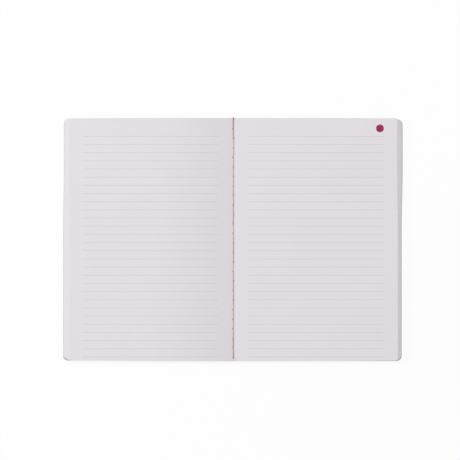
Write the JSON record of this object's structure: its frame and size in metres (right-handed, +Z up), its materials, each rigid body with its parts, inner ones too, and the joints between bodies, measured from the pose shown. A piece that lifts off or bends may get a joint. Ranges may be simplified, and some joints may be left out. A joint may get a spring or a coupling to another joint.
{
  "type": "planner",
  "caption": "Soft-covered ruled planner, sewn through its fold and lying open at its middle sheet; it closes, a page turns and both covers open.",
  "frame": {"origin": "on the table under the middle of the fold, half way between head and tail", "axes": "+X across the open pages to the right, +Y along the fold to the head, +Z up from the table"},
  "size_m": [0.2924, 0.21, 0.004],
  "materials": {
    "pages": "smooth uncoated paper, faintly ruled",
    "cover": "matt soft card",
    "thread": "spun tan thread"
  },
  "bodies": {
    "spine": {"cover_spine": "cover", "section_fold": "pages", "bobbin_thread": "thread", "needle_thread": "thread"},
    "left_leaf_01": {"left_leaf_01": "pages"},
    "left_leaf_02": {"left_leaf_02": "pages"},
    "left_leaf_03": {"left_leaf_03": "pages"},
    "left_leaf_04": {"left_leaf_04": "pages"},
    "left_leaf_05": {"left_leaf_05": "pages"},
    "left_leaf_06": {"left_leaf_06": "pages"},
    "left_leaf_07": {"left_leaf_07": "pages"},
    "left_leaf_08": {"left_leaf_08": "pages"},
    "left_leaf_09": {"left_leaf_09": "pages"},
    "left_leaf_10": {"left_leaf_10": "pages"},
    "left_leaf_11": {"left_leaf_11": "pages"},
    "left_leaf_12": {"left_leaf_12": "pages"},
    "left_leaf_13": {"left_leaf_13": "pages"},
    "left_leaf_14": {"left_leaf_14": "pages"},
    "left_leaf_15": {"left_leaf_15": "pages"},
    "left_leaf_16": {"left_leaf_16": "pages"},
    "left_leaf_17": {"left_leaf_17": "pages"},
    "left_leaf_18": {"left_leaf_18": "pages"},
    "left_leaf_19": {"left_leaf_19": "pages"},
    "left_leaf_20": {"left_leaf_20": "pages"},
    "right_leaf_01": {"right_leaf_01": "pages"},
    "right_leaf_02": {"right_leaf_02": "pages"},
    "right_leaf_03": {"right_leaf_03": "pages"},
    "right_leaf_04": {"right_leaf_04": "pages"},
    "right_leaf_05": {"right_leaf_05": "pages"},
    "right_leaf_06": {"right_leaf_06": "pages"},
    "right_leaf_07": {"right_leaf_07": "pages"},
    "right_leaf_08": {"right_leaf_08": "pages"},
    "right_leaf_09": {"right_leaf_09": "pages"},
    "right_leaf_10": {"right_leaf_10": "pages"},
    "right_leaf_11": {"right_leaf_11": "pages"},
    "right_leaf_12": {"right_leaf_12": "pages"},
    "right_leaf_13": {"right_leaf_13": "pages"},
    "right_leaf_14": {"right_leaf_14": "pages"},
    "right_leaf_15": {"right_leaf_15": "pages"},
    "right_leaf_16": {"right_leaf_16": "pages"},
    "right_leaf_17": {"right_leaf_17": "pages"},
    "right_leaf_18": {"right_leaf_18": "pages"},
    "right_leaf_19": {"right_leaf_19": "pages"},
    "right_leaf_20": {"right_leaf_20": "pages"},
    "front_cover": {"front_cover": "cover"},
    "back_cover": {"back_cover": "cover"}
  },
  "joints": [
    {"name": "close", "type": "hinge", "parent": "spine", "child": "left_leaf_20", "pos_m": [-0.00249, 0, 0.00111], "axis": [0, 1, 0], "range_deg": [0, 90], "deforming": ["section_fold", "cover_spine"]},
    {"name": "close_left_leaf_01", "type": "hinge", "parent": "spine", "child": "left_leaf_01", "pos_m": [-0.0004, 0, 0.0032], "axis": [0, 1, 0], "range_deg": [0, 90]},
    {"name": "close_left_leaf_02", "type": "hinge", "parent": "spine", "child": "left_leaf_02", "pos_m": [-0.00051, 0, 0.00309], "axis": [0, 1, 0], "range_deg": [0, 90]},
    {"name": "close_left_leaf_03", "type": "hinge", "parent": "spine", "child": "left_leaf_03", "pos_m": [-0.00062, 0, 0.00298], "axis": [0, 1, 0], "range_deg": [0, 90]},
    {"name": "close_left_leaf_04", "type": "hinge", "parent": "spine", "child": "left_leaf_04", "pos_m": [-0.00073, 0, 0.00287], "axis": [0, 1, 0], "range_deg": [0, 90]},
    {"name": "close_left_leaf_05", "type": "hinge", "parent": "spine", "child": "left_leaf_05", "pos_m": [-0.00084, 0, 0.00276], "axis": [0, 1, 0], "range_deg": [0, 90]},
    {"name": "close_left_leaf_06", "type": "hinge", "parent": "spine", "child": "left_leaf_06", "pos_m": [-0.00095, 0, 0.00265], "axis": [0, 1, 0], "range_deg": [0, 90]},
    {"name": "close_left_leaf_07", "type": "hinge", "parent": "spine", "child": "left_leaf_07", "pos_m": [-0.00106, 0, 0.00254], "axis": [0, 1, 0], "range_deg": [0, 90]},
    {"name": "close_left_leaf_08", "type": "hinge", "parent": "spine", "child": "left_leaf_08", "pos_m": [-0.00117, 0, 0.00243], "axis": [0, 1, 0], "range_deg": [0, 90]},
    {"name": "close_left_leaf_09", "type": "hinge", "parent": "spine", "child": "left_leaf_09", "pos_m": [-0.00128, 0, 0.00232], "axis": [0, 1, 0], "range_deg": [0, 90]},
    {"name": "close_left_leaf_10", "type": "hinge", "parent": "spine", "child": "left_leaf_10", "pos_m": [-0.00139, 0, 0.00221], "axis": [0, 1, 0], "range_deg": [0, 90]},
    {"name": "close_left_leaf_11", "type": "hinge", "parent": "spine", "child": "left_leaf_11", "pos_m": [-0.0015, 0, 0.0021], "axis": [0, 1, 0], "range_deg": [0, 90]},
    {"name": "close_left_leaf_12", "type": "hinge", "parent": "spine", "child": "left_leaf_12", "pos_m": [-0.00161, 0, 0.00199], "axis": [0, 1, 0], "range_deg": [0, 90]},
    {"name": "close_left_leaf_13", "type": "hinge", "parent": "spine", "child": "left_leaf_13", "pos_m": [-0.00172, 0, 0.00188], "axis": [0, 1, 0], "range_deg": [0, 90]},
    {"name": "close_left_leaf_14", "type": "hinge", "parent": "spine", "child": "left_leaf_14", "pos_m": [-0.00183, 0, 0.00177], "axis": [0, 1, 0], "range_deg": [0, 90]},
    {"name": "close_left_leaf_15", "type": "hinge", "parent": "spine", "child": "left_leaf_15", "pos_m": [-0.00194, 0, 0.00166], "axis": [0, 1, 0], "range_deg": [0, 90]},
    {"name": "close_left_leaf_16", "type": "hinge", "parent": "spine", "child": "left_leaf_16", "pos_m": [-0.00205, 0, 0.00155], "axis": [0, 1, 0], "range_deg": [0, 90]},
    {"name": "close_left_leaf_17", "type": "hinge", "parent": "spine", "child": "left_leaf_17", "pos_m": [-0.00216, 0, 0.00144], "axis": [0, 1, 0], "range_deg": [0, 90]},
    {"name": "close_left_leaf_18", "type": "hinge", "parent": "spine", "child": "left_leaf_18", "pos_m": [-0.00227, 0, 0.00133], "axis": [0, 1, 0], "range_deg": [0, 90]},
    {"name": "close_left_leaf_19", "type": "hinge", "parent": "spine", "child": "left_leaf_19", "pos_m": [-0.00238, 0, 0.00122], "axis": [0, 1, 0], "range_deg": [0, 90]},
    {"name": "close_right_leaf_02", "type": "hinge", "parent": "spine", "child": "right_leaf_02", "pos_m": [0.00051, 0, 0.00309], "axis": [0, -1, 0], "range_deg": [0, 90]},
    {"name": "close_right_leaf_03", "type": "hinge", "parent": "spine", "child": "right_leaf_03", "pos_m": [0.00062, 0, 0.00298], "axis": [0, -1, 0], "range_deg": [0, 90]},
    {"name": "close_right_leaf_04", "type": "hinge", "parent": "spine", "child": "right_leaf_04", "pos_m": [0.00073, 0, 0.00287], "axis": [0, -1, 0], "range_deg": [0, 90]},
    {"name": "close_right_leaf_05", "type": "hinge", "parent": "spine", "child": "right_leaf_05", "pos_m": [0.00084, 0, 0.00276], "axis": [0, -1, 0], "range_deg": [0, 90]},
    {"name": "close_right_leaf_06", "type": "hinge", "parent": "spine", "child": "right_leaf_06", "pos_m": [0.00095, 0, 0.00265], "axis": [0, -1, 0], "range_deg": [0, 90]},
    {"name": "close_right_leaf_07", "type": "hinge", "parent": "spine", "child": "right_leaf_07", "pos_m": [0.00106, 0, 0.00254], "axis": [0, -1, 0], "range_deg": [0, 90]},
    {"name": "close_right_leaf_08", "type": "hinge", "parent": "spine", "child": "right_leaf_08", "pos_m": [0.00117, 0, 0.00243], "axis": [0, -1, 0], "range_deg": [0, 90]},
    {"name": "close_right_leaf_09", "type": "hinge", "parent": "spine", "child": "right_leaf_09", "pos_m": [0.00128, 0, 0.00232], "axis": [0, -1, 0], "range_deg": [0, 90]},
    {"name": "close_right_leaf_10", "type": "hinge", "parent": "spine", "child": "right_leaf_10", "pos_m": [0.00139, 0, 0.00221], "axis": [0, -1, 0], "range_deg": [0, 90]},
    {"name": "close_right_leaf_11", "type": "hinge", "parent": "spine", "child": "right_leaf_11", "pos_m": [0.0015, 0, 0.0021], "axis": [0, -1, 0], "range_deg": [0, 90]},
    {"name": "close_right_leaf_12", "type": "hinge", "parent": "spine", "child": "right_leaf_12", "pos_m": [0.00161, 0, 0.00199], "axis": [0, -1, 0], "range_deg": [0, 90]},
    {"name": "close_right_leaf_13", "type": "hinge", "parent": "spine", "child": "right_leaf_13", "pos_m": [0.00172, 0, 0.00188], "axis": [0, -1, 0], "range_deg": [0, 90]},
    {"name": "close_right_leaf_14", "type": "hinge", "parent": "spine", "child": "right_leaf_14", "pos_m": [0.00183, 0, 0.00177], "axis": [0, -1, 0], "range_deg": [0, 90]},
    {"name": "close_right_leaf_15", "type": "hinge", "parent": "spine", "child": "right_leaf_15", "pos_m": [0.00194, 0, 0.00166], "axis": [0, -1, 0], "range_deg": [0, 90]},
    {"name": "close_right_leaf_16", "type": "hinge", "parent": "spine", "child": "right_leaf_16", "pos_m": [0.00205, 0, 0.00155], "axis": [0, -1, 0], "range_deg": [0, 90]},
    {"name": "close_right_leaf_17", "type": "hinge", "parent": "spine", "child": "right_leaf_17", "pos_m": [0.00216, 0, 0.00144], "axis": [0, -1, 0], "range_deg": [0, 90]},
    {"name": "close_right_leaf_18", "type": "hinge", "parent": "spine", "child": "right_leaf_18", "pos_m": [0.00227, 0, 0.00133], "axis": [0, -1, 0], "range_deg": [0, 90]},
    {"name": "close_right_leaf_19", "type": "hinge", "parent": "spine", "child": "right_leaf_19", "pos_m": [0.00238, 0, 0.00122], "axis": [0, -1, 0], "range_deg": [0, 90]},
    {"name": "close_right_leaf_20", "type": "hinge", "parent": "spine", "child": "right_leaf_20", "pos_m": [0.00249, 0, 0.00111], "axis": [0, -1, 0], "range_deg": [0, 90]},
    {"name": "turn_page", "type": "hinge", "parent": "right_leaf_02", "child": "right_leaf_01", "pos_m": [0, 0, 0.0036], "axis": [0, -1, 0], "range_deg": [0, 179]},
    {"name": "open_front_cover", "type": "hinge", "parent": "left_leaf_20", "child": "front_cover", "pos_m": [-0.00543, 0, -0.0001], "axis": [0, -1, 0], "range_deg": [0, 179.5]},
    {"name": "open_back_cover", "type": "hinge", "parent": "right_leaf_20", "child": "back_cover", "pos_m": [0.00543, 0, -0.00035], "axis": [0, 1, 0], "range_deg": [0, 179.5]}
  ],
  "couplings": [
    {"joint": "close_left_leaf_01", "follows": "close", "ratio": 1},
    {"joint": "close_left_leaf_02", "follows": "close", "ratio": 1},
    {"joint": "close_left_leaf_03", "follows": "close", "ratio": 1},
    {"joint": "close_left_leaf_04", "follows": "close", "ratio": 1},
    {"joint": "close_left_leaf_05", "follows": "close", "ratio": 1},
    {"joint": "close_left_leaf_06", "follows": "close", "ratio": 1},
    {"joint": "close_left_leaf_07", "follows": "close", "ratio": 1},
    {"joint": "close_left_leaf_08", "follows": "close", "ratio": 1},
    {"joint": "close_left_leaf_09", "follows": "close", "ratio": 1},
    {"joint": "close_left_leaf_10", "follows": "close", "ratio": 1},
    {"joint": "close_left_leaf_11", "follows": "close", "ratio": 1},
    {"joint": "close_left_leaf_12", "follows": "close", "ratio": 1},
    {"joint": "close_left_leaf_13", "follows": "close", "ratio": 1},
    {"joint": "close_left_leaf_14", "follows": "close", "ratio": 1},
    {"joint": "close_left_leaf_15", "follows": "close", "ratio": 1},
    {"joint": "close_left_leaf_16", "follows": "close", "ratio": 1},
    {"joint": "close_left_leaf_17", "follows": "close", "ratio": 1},
    {"joint": "close_left_leaf_18", "follows": "close", "ratio": 1},
    {"joint": "close_left_leaf_19", "follows": "close", "ratio": 1},
    {"joint": "close_right_leaf_02", "follows": "close", "ratio": 1},
    {"joint": "close_right_leaf_03", "follows": "close", "ratio": 1},
    {"joint": "close_right_leaf_04", "follows": "close", "ratio": 1},
    {"joint": "close_right_leaf_05", "follows": "close", "ratio": 1},
    {"joint": "close_right_leaf_06", "follows": "close", "ratio": 1},
    {"joint": "close_right_leaf_07", "follows": "close", "ratio": 1},
    {"joint": "close_right_leaf_08", "follows": "close", "ratio": 1},
    {"joint": "close_right_leaf_09", "follows": "close", "ratio": 1},
    {"joint": "close_right_leaf_10", "follows": "close", "ratio": 1},
    {"joint": "close_right_leaf_11", "follows": "close", "ratio": 1},
    {"joint": "close_right_leaf_12", "follows": "close", "ratio": 1},
    {"joint": "close_right_leaf_13", "follows": "close", "ratio": 1},
    {"joint": "close_right_leaf_14", "follows": "close", "ratio": 1},
    {"joint": "close_right_leaf_15", "follows": "close", "ratio": 1},
    {"joint": "close_right_leaf_16", "follows": "close", "ratio": 1},
    {"joint": "close_right_leaf_17", "follows": "close", "ratio": 1},
    {"joint": "close_right_leaf_18", "follows": "close", "ratio": 1},
    {"joint": "close_right_leaf_19", "follows": "close", "ratio": 1},
    {"joint": "close_right_leaf_20", "follows": "close", "ratio": 1}
  ]
}
